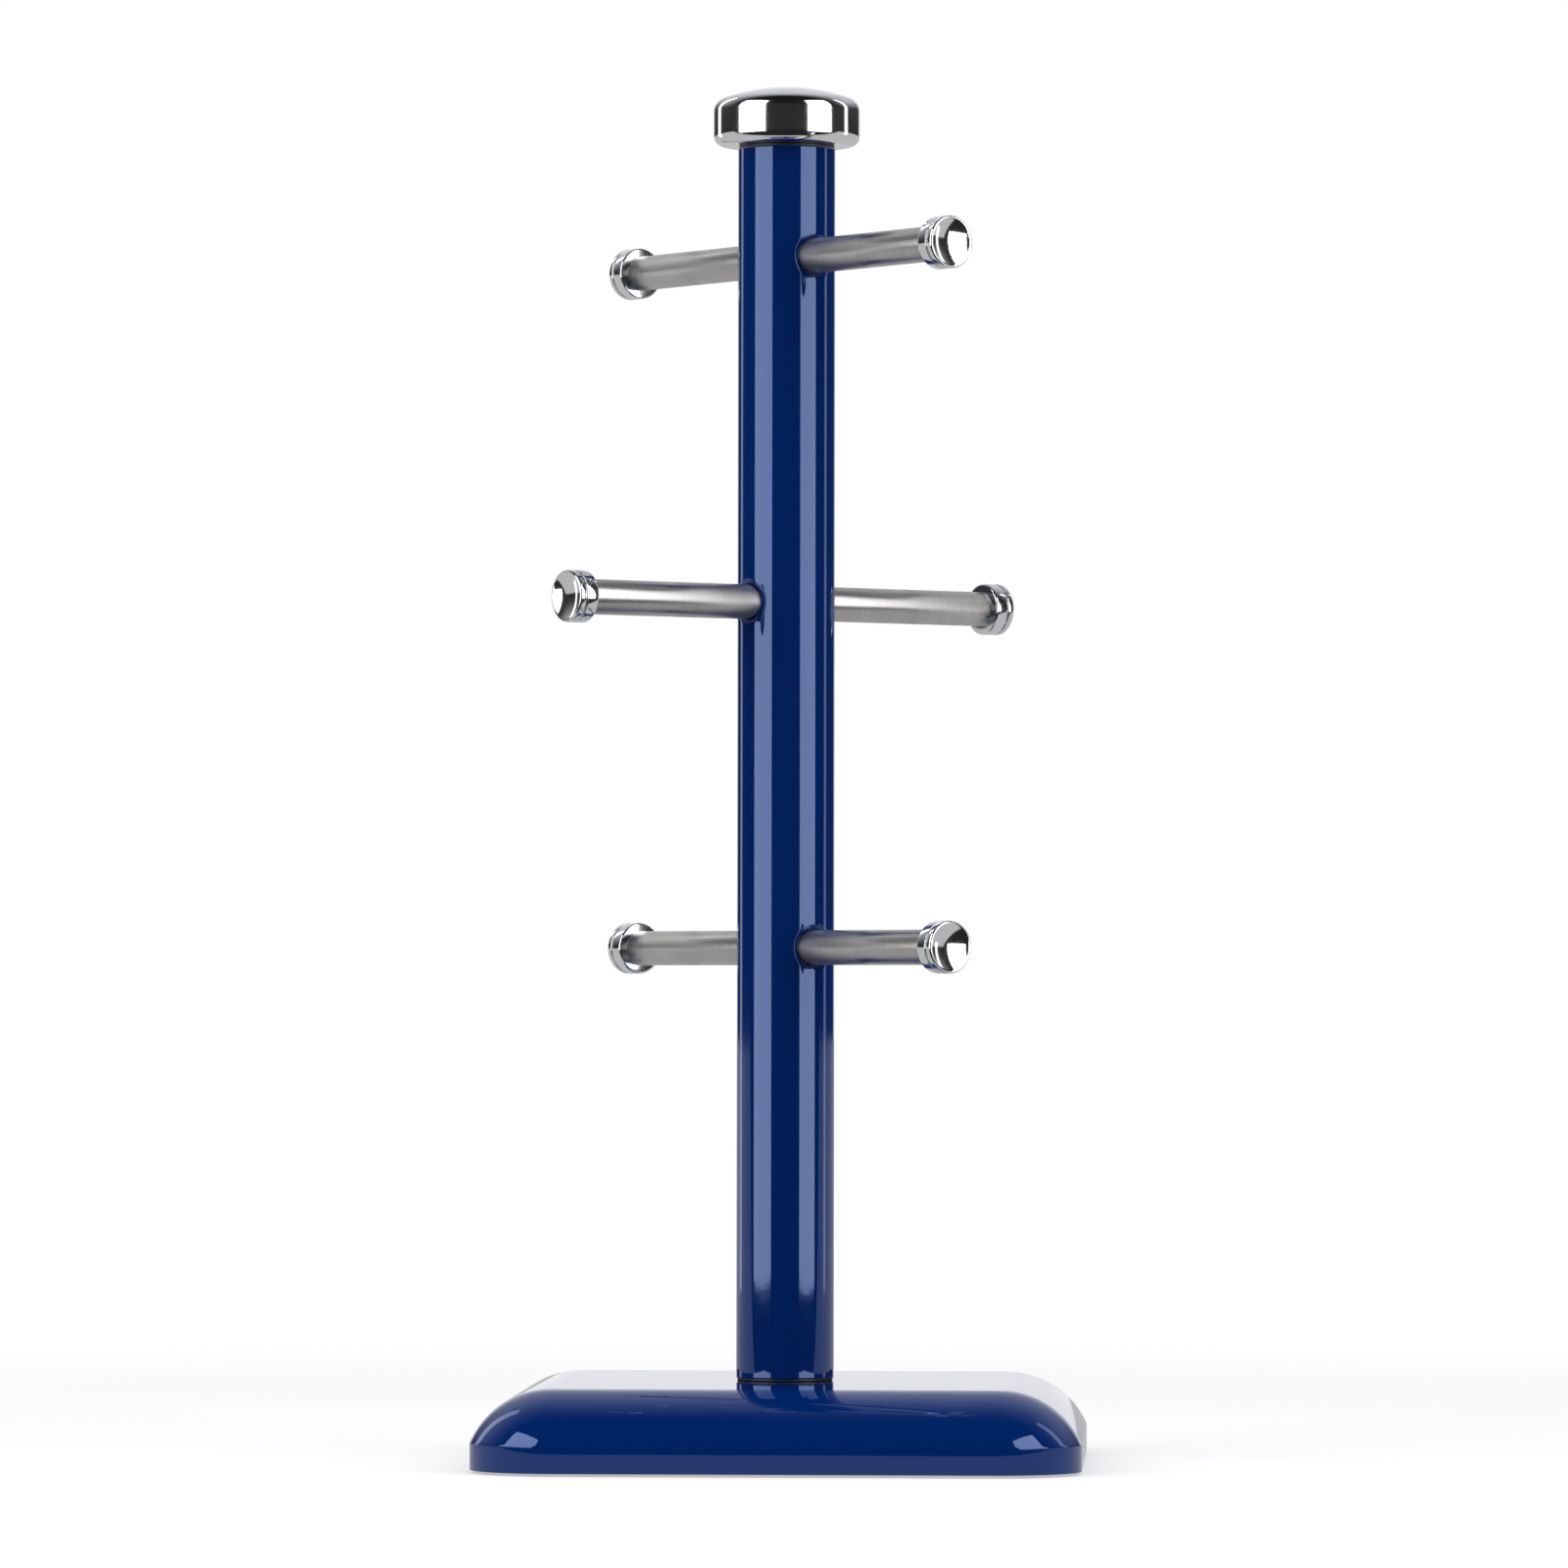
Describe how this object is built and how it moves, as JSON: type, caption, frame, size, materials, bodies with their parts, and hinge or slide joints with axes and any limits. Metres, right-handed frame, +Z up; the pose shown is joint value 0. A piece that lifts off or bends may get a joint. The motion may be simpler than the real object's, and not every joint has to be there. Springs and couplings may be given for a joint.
{
  "type": "mug tree",
  "caption": "Free-standing mug tree: weighted square base, tubular post, levels of opposed horizontal arms with end caps, and a domed top cap.",
  "frame": {"origin": "on the floor under the post's axis, at the centre of the base's footprint", "axes": "+Z up along the post; X and Y along the base's sides, +Y to the back; the arms stand 5.8 degrees clockwise of the XY diagonals, seen from above"},
  "size_m": [0.1718, 0.1718, 0.395],
  "materials": {
    "blue_enamel": "high-gloss royal blue powder enamel",
    "polished_chrome": "mirror polished",
    "brushed_steel": "brushed across the tube, satin",
    "plain_steel": "plain turned steel",
    "zinc_plate": "bright zinc plated",
    "cast_iron": "raw casting, black",
    "black_lacquer": "satin black lacquer on steel sheet",
    "black_rubber": "matte rubber",
    "black_nylon": "satin moulded nylon"
  },
  "bodies": {
    "root": {"arm_block_bottom": "plain_steel", "arm_block_middle": "plain_steel", "arm_block_top": "plain_steel", "arm_bottom_back_left": "brushed_steel", "arm_bottom_front_right": "brushed_steel", "arm_cap_bottom_back_left": "polished_chrome", "arm_cap_bottom_front_right": "polished_chrome", "arm_cap_middle_back_right": "polished_chrome", "arm_cap_middle_front_left": "polished_chrome", "arm_cap_top_back_left": "polished_chrome", "arm_cap_top_front_right": "polished_chrome", "arm_middle_back_right": "brushed_steel", "arm_middle_front_left": "brushed_steel", "arm_stud_bottom_back_left": "plain_steel", "arm_stud_bottom_front_right": "plain_steel", "arm_stud_middle_back_right": "plain_steel", "arm_stud_middle_front_left": "plain_steel", "arm_stud_top_back_left": "plain_steel", "arm_stud_top_front_right": "plain_steel", "arm_top_back_left": "brushed_steel", "arm_top_front_right": "brushed_steel", "base_plate": "black_lacquer", "base_shell": "blue_enamel", "base_weight": "cast_iron", "foot_back_left": "black_rubber", "foot_back_right": "black_rubber", "foot_front_left": "black_rubber", "foot_front_right": "black_rubber", "plate_screw_back_left": "zinc_plate", "plate_screw_back_right": "zinc_plate", "plate_screw_front_left": "zinc_plate", "plate_screw_front_right": "zinc_plate", "post_bolt": "zinc_plate", "post_bolt_spring_washer": "zinc_plate", "post_bolt_washer": "zinc_plate", "post_foot_gasket": "black_nylon", "post_foot_plug": "plain_steel", "post_top_plug": "plain_steel", "post_tube": "blue_enamel", "top_cap": "polished_chrome", "top_cap_stud": "plain_steel", "top_cap_washer": "black_nylon"}
  },
  "joints": []
}
